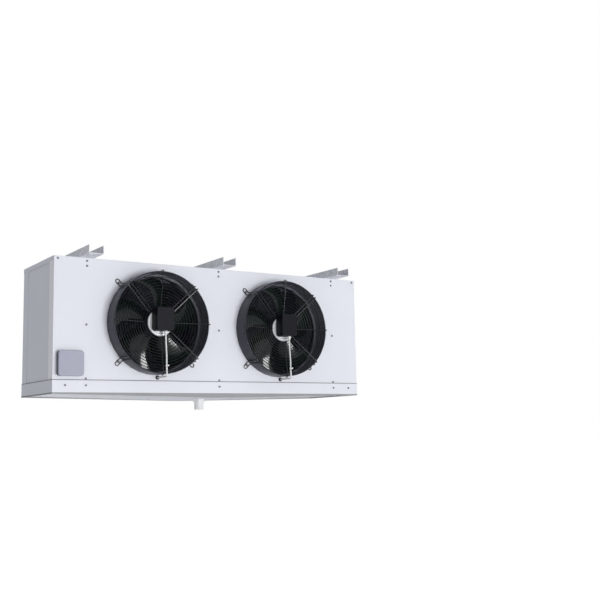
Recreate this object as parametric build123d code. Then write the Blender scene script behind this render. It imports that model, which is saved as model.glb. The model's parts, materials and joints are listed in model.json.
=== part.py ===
from build123d import *
import os
from math import atan2, cos, degrees, hypot, pi, radians, sin, sqrt

# Walk-in unit cooler: two fans blow out of the front, air enters through the coil at the rear.
# Millimetres. +X is to the right seen from the fan side, +Y towards the coil side, +Z up.
# The origin is the centre of the roof's top face, which the hanging channels rest on.

# Casing
casing_length = 1520.0
casing_depth = 400.0
casing_height = 560.0       # roof top to the bottom edge of the drain pan's skirt
sheet = 1.5                 # all casing sheet metal
roof_lip = 12.0             # down-turned ends of the roof
front_return = 45.0         # front panel folded round each end
rear_return = 60.0          # rear panels folded round each end
rail_height = 29.0          # rear top rail
rail_flange = 25.0
opening_fold = 12.0         # inward folds beside the coil opening
closed_panel_width = 160.0
pipe_panel_width = 170.0
end_cover_gap = 2.0         # between an end cover's edges and the front and rear sheets

# Cut-outs of the rear panel at the pipe end
upper_cutout_width = 112.0
upper_cutout_height = 61.0  # open at the top, under the rail
lower_cutout_width = 110.0
lower_cutout_height = 56.0
lower_cutout_lift = 4.0     # above the drain pan's skirt
cutout_edge = 15.0          # from the casing's end to both cut-outs
cutout_corner = 14.0

# Drain pan and its spigot
pan_skirt = 50.0
pan_lap = 20.0              # how far the casing panels reach down inside the pan
pan_sag = 18.0              # how far the pan's middle lies below its skirt
drain_flat = 90.0           # level part of the pan's floor round the drain
spigot_radius = 21.0
spigot_bore = 16.0
spigot_length = 34.0        # below the nut
spigot_neck = 1.0           # the neck through nut and pan is thinner by this
drain_nut_radius = 30.0
drain_nut_height = 14.0
drain_flange_height = 3.0
thread_clearance = 0.3
bore_sides = 16             # sides of the near-round bores of spigot and nut

# Hanging channels
channel_inset = 140.0       # end channels' middle from the casing's end
channel_width = 65.0
channel_height = 36.0
channel_wall = 3.0
channel_overhang = 105.0    # beyond the casing's front and rear
hanging_hole_radius = 6.5
hanging_hole_out = 55.0     # from the casing's front or rear to the hole
bolt_side = 8.0             # square shank, which keeps the bolt from turning
bolt_clearance = 0.5
bolt_offset = 12.0          # sideways from the channel's middle
bolt_inset = 80.0           # channel bolts from the casing's front and rear
bolt_head_radius = 7.5
bolt_head_height = 5.3

# Coil, whose tube sheets stand under the end channels
sheet_flange = 20.0
sheet_clear_of_pan = 42.0   # bottom edge of the tube sheets above the pan's skirt edge
tube_radius = 6.5
tube_sides = 6
bend_chords = 3
bend_socket = 3.0           # straight end of a return bend
tube_rows = 12
first_tube_height = 98.0    # above the pan's skirt edge
top_tube_drop = 55.0        # below the roof's top
tube_stub = 12.0            # tube length outside each tube sheet
circuit_rows = 3            # rows in one refrigerant circuit
fin_pitch = 15.0
fin_thickness = 0.6
fin_bottom_height = 62.0    # above the pan's skirt edge
fin_margin = 20.0           # fin beyond the tube columns, front and rear
coil_recess = 15.0          # fins behind the rear face
support_strip_width = 37.0
top_baffle = 1.5            # plate along the top of the fins

# Headers and heaters
suction_radius = 14.0
suction_inset = 38.0        # suction header's axis from the casing's end
suction_stub_height = 82.0  # above the pan's skirt edge
suction_stub_out = 40.0     # beyond the rear face
suction_socket = 30.0       # full-bore end of the stub
liquid_radius = 8.0
liquid_inset = 85.0
liquid_stub_drop = 78.0     # below the roof's top
liquid_stub_out = 20.0
liquid_socket = 14.0
stub_neck = 1.0             # a stub is thinner by this behind its end
header_sides = 12
header_end = 16.0           # header beyond its last branch
heater_radius = 4.25
heater_count = 3
heater_height = 53.0        # above the pan's skirt edge
heater_end = 25.0           # heater beyond the tube sheets

# Fan stations, midway between the channels
ring_lift = 26.0            # ring above the pan
ring_drop = 44.0            # ring below the roof's top
ring_wall = 2.0
ring_length = 80.0
ring_sides = 36             # sides of the near-round ring, motor flange and rotor
panel_hole_clearance = 0.5
throat_step = 15.0          # throat inside the ring's outer wall
bell_length = 45.0          # the bell mouth behind the throat
bell_flare = 18.0
flange_width = 9.0          # flange beyond the ring's outer wall

# Wire guard
wire = 3.0
hoop_count = 4
hoop_sides = 24
guard_inner_height = 49.5   # guard's middle above the front panel
guard_clearance = 0.3
weld_sink = 0.5             # ribs sink this far into the hoops behind them
rib_spread = 16.0           # between the two wires of a double rib
ear_reach = 27.0            # outer end of the screw ears beyond the ring
ear_sides = 8
hook_length = 16.0          # single ribs behind the ring's front rim

# Casing screws
screw_head_radius = 5.0
screw_head_height = 3.0
top_screw_drop = 13.0       # below the roof's top
second_screw_drop = 34.0
low_screw_lift = 7.0        # above the pan
end_screw_inset = 15.0      # from the casing's end
end_screw_drop = 11.0
rail_screw_inset = 50.0
pan_screw_inset = 52.0
pan_screw_height = 29.0     # above the pan's skirt edge

# Motor
motor_flange_radius = 58.0
motor_flange_back = 44.0    # above the front panel
motor_flange_front = 54.0
shaft_radius = 8.0
shaft_end = -25.0
shaft_clearance = 0.05
shaft_end_gap = 2.0
rotor_radius = 60.0
rotor_front = 40.0
rotor_back = -40.0
terminal_box_width = 80.0
terminal_box_bottom = -38.0
terminal_box_top = 61.0
terminal_box_front = 108.0
terminal_box_corner = 10.0

# Motor cable
cable_radius = 3.5
cable_x = 10.0
cable_exit_height = 84.0    # above the front panel
cable_outside = 11.0        # cable's axis outside the ring's wall
cable_in_front = 14.0       # cable's axis in front of the ring
cable_drop = 30.0           # level run out of the gland
cable_bend = 14.0
gland_radius = 8.0
gland_length = 16.0
grommet_radius = 7.0
grommet_lip = 2.0
grommet_height = 4.0
tie_inset = 35.0            # tie inside the ring's lowest point
tie_width = 5.0
tie_wall = 1.5

# Blades
blade_count = 5
blade_tip_clearance = 4.0
blade_thickness = 3.0
blade_root = 2.0            # blade foot inside the rotor's wall
blade_middle = -12.0        # blades' middle above the front panel
blade_camber = 0.09
root_chord = 88.0
tip_chord = 150.0
root_pitch = 42.0
tip_pitch = 20.0
sickle_sweep = 26.0         # degrees from root to tip

# Junction box
box_width = 107.0
box_height = 104.0
box_base_depth = 20.0
box_lid_depth = 10.0
box_corner = 12.0
box_left = 15.0             # from the casing's left end
box_bottom = 65.0           # above the pan's skirt edge
lid_overlap = 1.0

# Places worked out from the sizes above
end_x = casing_length / 2
front_y = -casing_depth / 2
rear_y = casing_depth / 2
skirt_bottom_z = -casing_height
pan_top_z = skirt_bottom_z + pan_skirt
panel_bottom_z = pan_top_z - pan_lap
opening_left_x = -end_x + pipe_panel_width
opening_right_x = end_x - closed_panel_width
tube_sheet_x = end_x - channel_inset
channel_xs = (-tube_sheet_x, 0.0, tube_sheet_x)
bolt_y = rear_y - bolt_inset
fan_x = tube_sheet_x / 2
ring_radius = (casing_height - pan_skirt - ring_lift - ring_drop) / 2
throat_radius = ring_radius - throat_step
ear_radius = ring_radius + ear_reach
fan_z = pan_top_z + ring_lift + ring_radius
sheet_bottom_z = skirt_bottom_z + sheet_clear_of_pan
coil_rear_y = rear_y - coil_recess
tube_pitch = (casing_height - first_tube_height - top_tube_drop) / (tube_rows - 1)
column_pitch = tube_pitch * sqrt(3) / 2
rear_column_y = coil_rear_y - fin_margin
front_column_y = rear_column_y - column_pitch
coil_front_y = front_column_y - fin_margin
tube_zs = [skirt_bottom_z + first_tube_height + tube_pitch * row for row in range(tube_rows)]
tube_end_x = tube_sheet_x + sheet + tube_stub
suction_x = suction_inset - end_x
liquid_x = liquid_inset - end_x
guard_inner_radius = (motor_flange_radius + guard_clearance) / cos(pi / hoop_sides) + wire / 2
ear_hole_radius = (rib_spread - wire) / 2


def block(x0, x1, y0, y1, z0, z1):
    """Box between two corners."""
    return Pos((x0 + x1) / 2, (y0 + y1) / 2, (z0 + z1) / 2) * Box(x1 - x0, y1 - y0, z1 - z0)


def rod(start, end, radius):
    """Round bar from one point to another."""
    run = Vector(*end) - Vector(*start)
    return extrude(Plane(start, z_dir=run) * Circle(radius), run.length)


def tube(points, radius):
    """Thin tube along corner points, with a section of few sides."""
    start = Vector(*points[0])
    section = Plane(start, z_dir=Vector(*points[1]) - start) * RegularPolygon(radius, tube_sides)
    return sweep(section, Polyline(*points), transition=Transition.RIGHT)


def hexagon_head(place, radius, height):
    """Six-sided screw head that stands on a plane."""
    return extrude(place * RegularPolygon(radius, 6), height)


def thick_line(points, width):
    """Face of constant width along a bent line, with mitred corners."""
    left, right = [], []
    for index, (x, y) in enumerate(points):
        before = points[max(index - 1, 0)]
        after = points[min(index + 1, len(points) - 1)]
        sides = []
        for (x0, y0), (x1, y1) in ((before, (x, y)), ((x, y), after)):
            length = hypot(x1 - x0, y1 - y0)
            if length:
                sides.append(Vector((y0 - y1) / length, (x1 - x0) / length))
        mitre = sides[0] + sides[-1]
        mitre = mitre * (width / mitre.dot(mitre)) if len(sides) > 1 else sides[0] * (width / 2)
        left.append((x + mitre.X, y + mitre.Y))
        right.append((x - mitre.X, y - mitre.Y))
    return make_face(Polyline(*left, *reversed(right), close=True))


# ------------------------------------------------------------------ casing

def bolt_places():
    """Middle of each channel bolt; the end ones pass through the tube sheets' flanges."""
    places = []
    for x in channel_xs:
        side = -1 if x < 0 else 1
        for y in (-bolt_y, bolt_y):
            places.append((x + side * bolt_offset, y))
    return places


def square_bars(side, bottom, top):
    """Square bars at the channel bolts: shanks, or the tools that cut their holes."""
    half = side / 2
    return [block(x - half, x + half, y - half, y + half, bottom, top) for x, y in bolt_places()]


def bolt_holes(bottom, top):
    """Clearance holes for the channel bolts between two heights."""
    return square_bars(bolt_side + 2 * bolt_clearance, bottom, top)


def roof_panel():
    """Flat roof with its two ends turned down over the casing."""
    roof = block(-end_x - sheet, end_x + sheet, front_y, rear_y, -sheet, 0)
    for side in (-1, 1):
        inner, outer = sorted((side * end_x, side * (end_x + sheet)))
        roof += block(inner, outer, front_y, rear_y, -roof_lip, 0)
    return roof - bolt_holes(-2 * sheet, sheet)


def fan_plane(x):
    """Plane on the front panel at a fan's axis: x right, y up, z out of the front."""
    return Plane((x, front_y, fan_z), x_dir=(1, 0, 0), z_dir=(0, -1, 0))


def front_fan_panel():
    """Front sheet, folded round both ends, with the fan holes and the motor cable holes."""
    panel = block(-end_x, end_x, front_y, front_y + sheet, panel_bottom_z, -sheet)
    for side in (-1, 1):
        inner, outer = sorted((side * (end_x - sheet), side * end_x))
        panel += block(inner, outer, front_y, front_y + front_return, panel_bottom_z, -sheet)
    cable_y = -(ring_radius + cable_outside)
    for x in (-fan_x, fan_x):
        place = fan_plane(x).offset(-2 * sheet)
        panel -= extrude(place * many_sided(ring_radius + panel_hole_clearance, 0), 3 * sheet)
        panel -= extrude(place * Pos(cable_x, cable_y) * RegularPolygon(grommet_radius, 6), 3 * sheet)
    return panel


def end_cover(side):
    """Plain end sheet, behind the folded edges of the front and rear sheets."""
    inner, outer = sorted((side * (end_x - 2 * sheet), side * (end_x - sheet)))
    near = front_y + sheet + end_cover_gap
    far = rear_y - sheet - end_cover_gap
    return block(inner, outer, near, far, panel_bottom_z, -sheet)


def rear_top_rail():
    """Rail over the coil opening, with a flange under the roof and short folds round the ends."""
    rail = block(-end_x, end_x, rear_y - sheet, rear_y, -rail_height, -sheet)
    flange_x = end_x - 2 * sheet
    rail += block(-flange_x, flange_x, rear_y - rail_flange, rear_y, -2 * sheet, -sheet)
    for side in (-1, 1):
        inner, outer = sorted((side * (end_x - sheet), side * end_x))
        rail += block(inner, outer, rear_y - rear_return, rear_y, -rail_height, -sheet)
    return rail


def rear_sheet(opening_x, side):
    """Rear sheet from the coil opening to a casing end, folded at both edges."""
    low, high = sorted((opening_x, side * end_x))
    sheet_face = block(low, high, rear_y - sheet, rear_y, panel_bottom_z, -rail_height)
    inner, outer = sorted((side * (end_x - sheet), side * end_x))
    fold = block(inner, outer, rear_y - rear_return, rear_y, panel_bottom_z, -rail_height)
    inner, outer = sorted((opening_x, opening_x + side * sheet))
    edge = block(inner, outer, rear_y - opening_fold, rear_y, panel_bottom_z, -rail_height)
    return sheet_face + fold + edge


def cutout(width, bottom, top):
    """Round-cornered tool that cuts the rear sheet at the pipe end."""
    middle_x = -end_x + cutout_edge + width / 2
    face = Plane((middle_x, rear_y + sheet, (bottom + top) / 2), x_dir=(1, 0, 0), z_dir=(0, 1, 0))
    return extrude(face * RectangleRounded(width, top - bottom, cutout_corner), -4 * sheet)


def rear_pipe_panel():
    """Rear sheet at the pipe end, with the notch under the rail and the square hole above the pan."""
    panel = rear_sheet(opening_left_x, -1)
    notch_bottom = -rail_height - upper_cutout_height
    panel -= cutout(upper_cutout_width, notch_bottom, -rail_height + 2 * cutout_corner)
    hole_bottom = pan_top_z + lower_cutout_lift
    return panel - cutout(lower_cutout_width, hole_bottom, hole_bottom + lower_cutout_height)


def pan_outline(inset):
    """Pan's length profile, seen from the front, with its walls moved in by the inset."""
    half = end_x + sheet - inset
    floor = skirt_bottom_z + inset
    return Polyline(
        (-half, pan_top_z),
        (-half, floor),
        (-drain_flat / 2, floor - pan_sag),
        (drain_flat / 2, floor - pan_sag),
        (half, floor),
        (half, pan_top_z),
        close=True,
    )


def drain_pan():
    """Folded tray that falls from both ends to the drain in the middle."""
    outside = Plane.XZ.offset(-(rear_y + sheet)) * make_face(pan_outline(0))
    inside = Plane.XZ.offset(-rear_y) * make_face(pan_outline(sheet))
    pan = extrude(outside, casing_depth + 2 * sheet) - extrude(inside, casing_depth)
    floor = skirt_bottom_z - pan_sag
    return pan - rod((0, 0, floor - sheet), (0, 0, floor + 2 * sheet), spigot_radius + thread_clearance)


def drain_spigot():
    """Spigot with a flange on the pan's floor, a thinner neck through the nut, and a bore."""
    floor = skirt_bottom_z - pan_sag + sheet
    nut_bottom = floor - sheet - drain_nut_height
    bottom = nut_bottom - spigot_length
    bore = RegularPolygon(spigot_bore, bore_sides)
    neck = RegularPolygon(spigot_radius - spigot_neck, bore_sides)
    spigot = rod((0, 0, bottom), (0, 0, nut_bottom - spigot_neck), spigot_radius)
    spigot += extrude(Plane((0, 0, nut_bottom - spigot_neck)) * neck, floor - nut_bottom + spigot_neck)
    spigot += hexagon_head(Plane((0, 0, floor)), drain_nut_radius, drain_flange_height)
    return spigot - extrude(Plane((0, 0, bottom)) * bore, floor + drain_flange_height - bottom)


def drain_nut():
    """Collar nut that pulls the spigot's flange down on the pan."""
    bottom = Plane((0, 0, skirt_bottom_z - pan_sag - drain_nut_height))
    nut = hexagon_head(bottom, drain_nut_radius, drain_nut_height)
    bore_radius = spigot_radius - spigot_neck + thread_clearance
    return nut - extrude(bottom * RegularPolygon(bore_radius, bore_sides), drain_nut_height)


def hanging_channel(x):
    """Galvanised channel, open upwards, with a hanging hole at each end."""
    half = channel_width / 2
    reach = casing_depth / 2 + channel_overhang
    channel = block(x - half, x + half, -reach, reach, 0, channel_height)
    inside = half - channel_wall
    channel -= block(x - inside, x + inside, -reach - 1, reach + 1, channel_wall, channel_height + 1)
    hole_y = casing_depth / 2 + hanging_hole_out
    for y in (-hole_y, hole_y):
        channel -= rod((x, y, -1), (x, y, channel_wall + 1), hanging_hole_radius)
    return channel - bolt_holes(-1, channel_wall + 1)


def channel_bolts():
    """Bolts that clamp each channel, the roof and the flange under it, with their nuts."""
    bolts = []
    nut_bottom = -2 * sheet - bolt_head_height
    for (x, y), shank in zip(bolt_places(), square_bars(bolt_side, nut_bottom, channel_wall)):
        bolt = shank + hexagon_head(Plane((x, y, channel_wall)), bolt_head_radius, bolt_head_height)
        bolts.append(bolt + hexagon_head(Plane((x, y, nut_bottom)), bolt_head_radius, bolt_head_height))
    return bolts


def face_screws(places, face_y, outwards):
    """Screw heads on an upright face, at pairs of X and Z."""
    heads = []
    for x, z in places:
        place = Plane((x, face_y, z), x_dir=(1, 0, 0), z_dir=(0, outwards, 0))
        heads.append(hexagon_head(place, screw_head_radius, screw_head_height))
    return heads


def front_panel_screws():
    """Screws into the tube sheets, the middle support and the end covers."""
    heights = (-top_screw_drop, -second_screw_drop, -casing_height / 2, pan_top_z + low_screw_lift)
    places = [(x, z) for x in channel_xs for z in heights]
    places += [(side * (end_x - end_screw_inset), -end_screw_drop) for side in (-1, 1)]
    return face_screws(places, front_y, -1)


def rear_panel_screws():
    """Screws of the rail, and of the two rear sheets into the tube sheets."""
    places = [(x, -rail_height / 2) for x in (-tube_sheet_x, 0, end_x - rail_screw_inset)]
    places += [(x, -casing_height / 2) for x in (-tube_sheet_x, tube_sheet_x)]
    return face_screws(places, rear_y, 1)


def pan_screws():
    """Screws along the pan's front and rear skirts."""
    last = end_x - pan_screw_inset
    places = [(x, skirt_bottom_z + pan_screw_height) for x in (-last, *channel_xs, last)]
    return face_screws(places, front_y - sheet, -1) + face_screws(places, rear_y + sheet, 1)


# ------------------------------------------------------------------ coil

def flanged_sheet(x, side):
    """Tube sheet at a coil end, flanged outwards at the front, rear and top."""
    inner, outer = sorted((x, x + side * sheet))
    near, far = front_y + sheet, rear_y - sheet
    top = -2 * sheet
    plate = block(inner, outer, near, far, sheet_bottom_z, top)
    inner, outer = sorted((x, x + side * sheet_flange))
    plate += block(inner, outer, near, near + sheet, sheet_bottom_z, top)
    plate += block(inner, outer, far - sheet, far, sheet_bottom_z, top)
    plate += block(inner, outer, near, rear_y - rail_flange - end_cover_gap, top, -sheet)
    return plate - bolt_holes(-3 * sheet, 0)


def centre_support():
    """Middle sheet between the fans: it carries the tubes and shows as a strip at the rear."""
    near, far = front_y + sheet, rear_y - sheet
    top = -2 * sheet
    half = support_strip_width / 2
    plate = block(-sheet / 2, sheet / 2, near, far, sheet_bottom_z, top)
    plate += block(-half, half, near, near + sheet, sheet_bottom_z, top)
    plate += block(-half, half, far - sheet, far, sheet_bottom_z, top)
    plate += block(-half, half, near, rear_y - rail_flange - end_cover_gap, top, -sheet)
    return plate - bolt_holes(-3 * sheet, 0)


def fin_pack(side):
    """Fins of one half of the coil, with the baffle plate along their tops."""
    low = sheet / 2
    high = tube_sheet_x
    bottom = skirt_bottom_z + fin_bottom_height
    top = -rail_height - sheet
    pack = block(low, high, coil_front_y, coil_rear_y, top, top + top_baffle)
    count = int((high - low) / fin_pitch)
    first = (low + high - (count - 1) * fin_pitch) / 2
    pack += [
        block(x - fin_thickness / 2, x + fin_thickness / 2, coil_front_y, coil_rear_y, bottom, top)
        for x in (first + fin_pitch * index for index in range(count))
    ]
    return pack if side > 0 else pack.mirror(Plane.YZ)


def bend_points(x, first, second, side):
    """Corner points of a half-turn between two tubes, beyond the tube sheet on one side."""
    start, end = Vector(x, *first), Vector(x, *second)
    middle = (start + end) * 0.5
    arm = start - middle
    out = Vector(side * arm.length, 0, 0)
    turns = [pi * chord / bend_chords for chord in range(bend_chords + 1)]
    return [middle + arm * cos(turn) + out * sin(turn) for turn in turns]


def row_tubes(row):
    """The rear tube and the front tube of a row; the front one is half a pitch lower."""
    rear = (rear_column_y, tube_zs[row])
    front = (front_column_y, tube_zs[row] - tube_pitch / 2)
    return rear, front


def coil_hairpins():
    """One hairpin for each row: two long legs and a bend at the closed end."""
    hairpins = []
    for row in range(tube_rows):
        rear, front = row_tubes(row)
        bend = bend_points(tube_end_x, rear, front, 1)
        hairpins.append(tube([(-tube_end_x, *rear), *bend, (-tube_end_x, *front)], tube_radius))
    return hairpins


def return_bends():
    """Bends at the pipe end that join the rows of each circuit."""
    bends = []
    for first in range(0, tube_rows, circuit_rows):
        for step in range(circuit_rows - 1):
            column = step % 2
            lower = row_tubes(first + step)[column]
            upper = row_tubes(first + step + 1)[column]
            bend = bend_points(-tube_end_x - bend_socket, lower, upper, -1)
            bends.append(tube([(-tube_end_x, *lower), *bend, (-tube_end_x, *upper)], tube_radius))
    return bends


def circuit_ends(column, offset):
    """Places where the circuits begin or end at the pipe end."""
    return [row_tubes(first + offset)[column] for first in range(0, tube_rows, circuit_rows)]


def header(x, y, low, high, radius, ends):
    """Upright header, with branches to the tubes at its ends' heights."""
    pipe = extrude(Plane((x, y, low)) * RegularPolygon(radius, header_sides), high - low)
    for branch_y, branch_z in ends:
        pipe += tube([(x, branch_y, branch_z), (-tube_end_x, branch_y, branch_z)], tube_radius)
    return pipe


def stub(x, y, z, radius, out, socket):
    """Pipe from a header out of the rear face, wider along its end."""
    socket_y = rear_y + out - socket
    neck = Plane((x, y, z), z_dir=(0, 1, 0)) * RegularPolygon(radius - stub_neck, header_sides)
    return extrude(neck, socket_y - y) + rod((x, socket_y, z), (x, socket_y + socket, z), radius)


def suction_header():
    """Outlet header behind the rear tube column, with its stub through the lower cut-out."""
    ends = circuit_ends(0, circuit_rows - 1)
    z = skirt_bottom_z + suction_stub_height
    y = rear_column_y
    pipe = header(suction_x, y, z - suction_radius, ends[-1][1] + header_end, suction_radius, ends)
    return pipe + stub(suction_x, y, z, suction_radius, suction_stub_out, suction_socket)


def liquid_header():
    """Inlet header behind the front tube column, with its stub through the upper cut-out."""
    ends = circuit_ends(1, 0)
    z = -liquid_stub_drop
    y = front_column_y
    pipe = header(liquid_x, y, ends[0][1] - header_end, z + liquid_radius, liquid_radius, ends)
    return pipe + stub(liquid_x, y, z, liquid_radius, liquid_stub_out, liquid_socket)


def defrost_heaters():
    """Heater rods under the fins, held by the tube sheets and the middle support."""
    z = skirt_bottom_z + heater_height
    reach = tube_sheet_x + heater_end
    pitch = (coil_rear_y - coil_front_y) / heater_count
    ys = [coil_front_y + pitch * (index + 0.5) for index in range(heater_count)]
    return [tube([(-reach, y, z), (reach, y, z)], heater_radius) for y in ys]


# ------------------------------------------------------------------ fans, built at the origin with +Z outwards

def many_sided(radius, height):
    """Near-round outline at a height."""
    return Pos(0, 0, height) * RegularPolygon(radius, ring_sides)


def bell(grow):
    """Solid as wide as the bell mouth, which narrows to the throat."""
    taper = degrees(atan2(bell_flare * cos(pi / ring_sides), bell_length))
    wide_end = many_sided(throat_radius + bell_flare + grow, -sheet - ring_wall - bell_length)
    return extrude(wide_end, bell_length, taper=taper)


def fan_ring():
    """Ring through the panel hole, its flange behind the panel, and the bell mouth at the throat."""
    back = -sheet - ring_wall
    ring = extrude(many_sided(ring_radius, -sheet), ring_length + sheet)
    ring -= extrude(many_sided(ring_radius - ring_wall, -sheet), ring_length + sheet)
    ring += extrude(many_sided(ring_radius + flange_width, back), ring_wall)
    ring += bell(ring_wall)
    ring -= bell(0)
    return ring - extrude(many_sided(throat_radius, back), ring_wall)


def guard_height(radius):
    """Middle of the guard's wires above the panel: level over the rim and dished to the motor."""
    inner = guard_inner_radius
    outer = ring_radius - ring_wall
    rim = ring_length + guard_clearance + wire / 2
    share = min((radius - inner) / (outer - inner), 1)
    return guard_inner_height + (rim - guard_inner_height) * share


def guard_hoops():
    """Hoops of the guard, each a little higher than the one inside it."""
    inner = guard_inner_radius
    outer = ring_radius - ring_wall
    hoops = []
    for index in range(hoop_count):
        radius = inner + (outer - inner) * index / (hoop_count - 0.5)
        band = RegularPolygon(radius + wire / 2, hoop_sides) - RegularPolygon(radius - wire / 2, hoop_sides)
        top = guard_height(radius) - wire / 2 + weld_sink
        hoops.append(Pos(0, 0, top - wire) * extrude(band, wire))
    return hoops


def rib(points, sideways):
    """Guard wire that follows points of radius and height in one radial plane."""
    line = thick_line(points, wire)
    return extrude(Plane.XZ.offset(-sideways - wire / 2) * line, wire)


def wire_guard():
    """Ribs welded across the hoops: four double ones that end in screw ears, and four single ones."""
    inner = guard_inner_radius
    outer = ring_radius - ring_wall
    outside = ring_radius + guard_clearance + wire / 2
    rim = guard_height(outer)
    ear_middle = ear_radius - rib_spread / 2 - wire / 2
    top = [(inner, guard_height(inner)), (outer, rim), (outside, rim)]
    double = top + [(outside, wire / 2), (ear_middle, wire / 2)]
    single = top + [(outside, rim - hook_length)]
    ear = RegularPolygon(ear_hole_radius + wire, ear_sides) - RegularPolygon(ear_hole_radius, ear_sides)
    ear &= Pos(rib_spread, 0) * Rectangle(2 * rib_spread, 2 * rib_spread)
    loop = extrude(Pos(ear_middle, 0) * ear, wire)
    for side in (-1, 1):
        loop += rib(double, side * rib_spread / 2)
    hook = rib(single, 0)
    ribs = [Rot(0, 0, angle) * loop for angle in range(45, 360, 90)]
    return ribs + [Rot(0, 0, angle) * hook for angle in range(0, 360, 90)]


def guard_screws():
    """Screws that hold the guard's ears on the front panel."""
    ear_middle = ear_radius - rib_spread / 2 - wire / 2
    washer_radius = rib_spread / 2
    shank_radius = ear_hole_radius * cos(pi / ear_sides) - guard_clearance
    screws = []
    for angle in range(45, 360, 90):
        screw = extrude(RegularPolygon(shank_radius, 6), wire)
        screw += Pos(0, 0, wire) * extrude(RegularPolygon(washer_radius, 6), screw_head_height)
        screws.append(Rot(0, 0, angle) * Pos(ear_middle, 0, 0) * screw)
    return screws


def motor_stator():
    """Fixed half of the motor: the pale mounting flange and the shaft that carries the rotor."""
    flange = extrude(many_sided(motor_flange_radius, motor_flange_back), motor_flange_front - motor_flange_back)
    return flange + rod((0, 0, shaft_end), (0, 0, motor_flange_back), shaft_radius)


def terminal_box():
    """Motor terminal box on the flange."""
    height = terminal_box_top - terminal_box_bottom
    middle = (terminal_box_top + terminal_box_bottom) / 2
    outline = chamfer(Rectangle(terminal_box_width, height).vertices(), terminal_box_corner)
    depth = terminal_box_front - motor_flange_front
    box = Pos(0, middle, motor_flange_front) * extrude(outline, depth)
    return chamfer(box.faces().sort_by(Axis.Z)[-1].edges(), terminal_box_corner / 3)


def cable_gland():
    """Gland under the terminal box: a hexagon and a narrower clamping nut."""
    top = Plane((cable_x, terminal_box_bottom, cable_exit_height), z_dir=(0, -1, 0))
    gland = hexagon_head(top, gland_radius, gland_length / 2)
    return gland + hexagon_head(top.offset(gland_length / 2), gland_radius * 0.8, gland_length / 2)


def motor_cable():
    """Cable from the gland down the guard's face, over the rim and into the front panel."""
    outside = -(ring_radius + cable_outside)
    front = ring_length + cable_in_front
    start = terminal_box_bottom - gland_length
    points = (
        (cable_x, start, cable_exit_height),
        (cable_x, start - cable_drop, cable_exit_height),
        (cable_x, outside, front),
        (cable_x, outside, grommet_height),
    )
    path = FilletPolyline(*points, radius=cable_bend)
    section = Plane(points[0], z_dir=path % 0) * RegularPolygon(cable_radius, tube_sides)
    return sweep(section, path)


def cable_grommet():
    """Grommet in the panel hole that takes the motor cable."""
    place = Pos(cable_x, -(ring_radius + cable_outside), 0)
    return place * (
        Pos(0, 0, -sheet) * extrude(RegularPolygon(grommet_radius, 6), sheet)
        + extrude(RegularPolygon(grommet_radius + grommet_lip, 6), grommet_height)
    )


def cable_tie():
    """Tie round the cable, with its flat back on the guard's outermost ring."""
    drop = tie_inset - ring_radius
    start = terminal_box_bottom - gland_length - cable_drop
    end = -(ring_radius + cable_outside)
    share = (start - drop) / (start - end)
    height = cable_exit_height + (ring_length + cable_in_front - cable_exit_height) * share
    inner = 2 * (cable_radius + guard_clearance)
    loop = Rectangle(inner + 2 * tie_wall, inner + 2 * tie_wall) - Rectangle(inner, inner)
    return extrude(Plane((cable_x, drop + tie_width / 2, height), z_dir=(0, -1, 0)) * loop, tie_width)


def rotor_can():
    """Outer rotor of the motor, bored for the shaft."""
    can = extrude(many_sided(rotor_radius, rotor_back), rotor_front - rotor_back)
    return can - rod((0, 0, shaft_end - shaft_end_gap), (0, 0, rotor_front + 1), shaft_radius + shaft_clearance)


def blade_section(radius, share):
    """Front and rear corners of a cambered section, turned by its pitch and swept back."""
    chord = root_chord + (tip_chord - root_chord) * share
    pitch = radians(root_pitch + (tip_pitch - root_pitch) * share)
    sweep_angle = radians(sickle_sweep * share * share)
    outwards = Vector(cos(sweep_angle), sin(sweep_angle), 0)
    along = Vector(-sin(sweep_angle), cos(sweep_angle), 0) * cos(pitch) + Vector(0, 0, sin(pitch))
    place = Plane(outwards * radius + Vector(0, 0, blade_middle), x_dir=along, z_dir=outwards)
    half = blade_thickness / 2
    bow = blade_camber * chord
    ends = chord / 2
    line = [(-ends, 0), (0, bow), (ends, 0)]
    return [[place.from_local_coords((x, y + face, 0)) for x, y in line] for face in (half, -half)]


def strip(inner, outer):
    """Triangles between two rows of points."""
    corners = []
    for a, b, c, d in zip(inner, inner[1:], outer[1:], outer):
        corners += [(a, b, c), (a, c, d)]
    return [Face(Wire.make_polygon(triangle)) for triangle in corners]


def blade(root, tip):
    """Sickle blade with flat facets between its sections, cut round at the tip."""
    stations = (0, 0.35, 0.7, 1)
    sections = [blade_section(root + (tip - root) * share, share) for share in stations]
    faces = [Face(Wire.make_polygon(front + rear[::-1])) for front, rear in (sections[0], sections[-1])]
    for (front, rear), (next_front, next_rear) in zip(sections, sections[1:]):
        faces += strip(front, next_front) + strip(rear, next_rear)
        for edge in (0, -1):
            faces += strip([front[edge], rear[edge]], [next_front[edge], next_rear[edge]])
    round_tip = Pos(0, 0, blade_middle - tip_chord) * extrude(Circle(tip), 2 * tip_chord)
    return Solid(Shell(faces)) & round_tip


def fan_rotor():
    """Rotor can with the sickle blades welded round it."""
    rotor = rotor_can()
    one_blade = blade(rotor_radius - blade_root, throat_radius - blade_tip_clearance)
    for index in range(blade_count):
        rotor += Rot(0, 0, 360 / blade_count * index) * one_blade
    return rotor


# ------------------------------------------------------------------ junction box

def junction_outline(grow):
    """Rounded outline of the junction box on the front panel."""
    x = -end_x + box_left + box_width / 2
    z = skirt_bottom_z + box_bottom + box_height / 2
    place = Plane((x, front_y, z), x_dir=(1, 0, 0), z_dir=(0, -1, 0))
    outline = Rectangle(box_width + 2 * grow, box_height + 2 * grow)
    return place, chamfer(outline.vertices(), box_corner)


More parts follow.
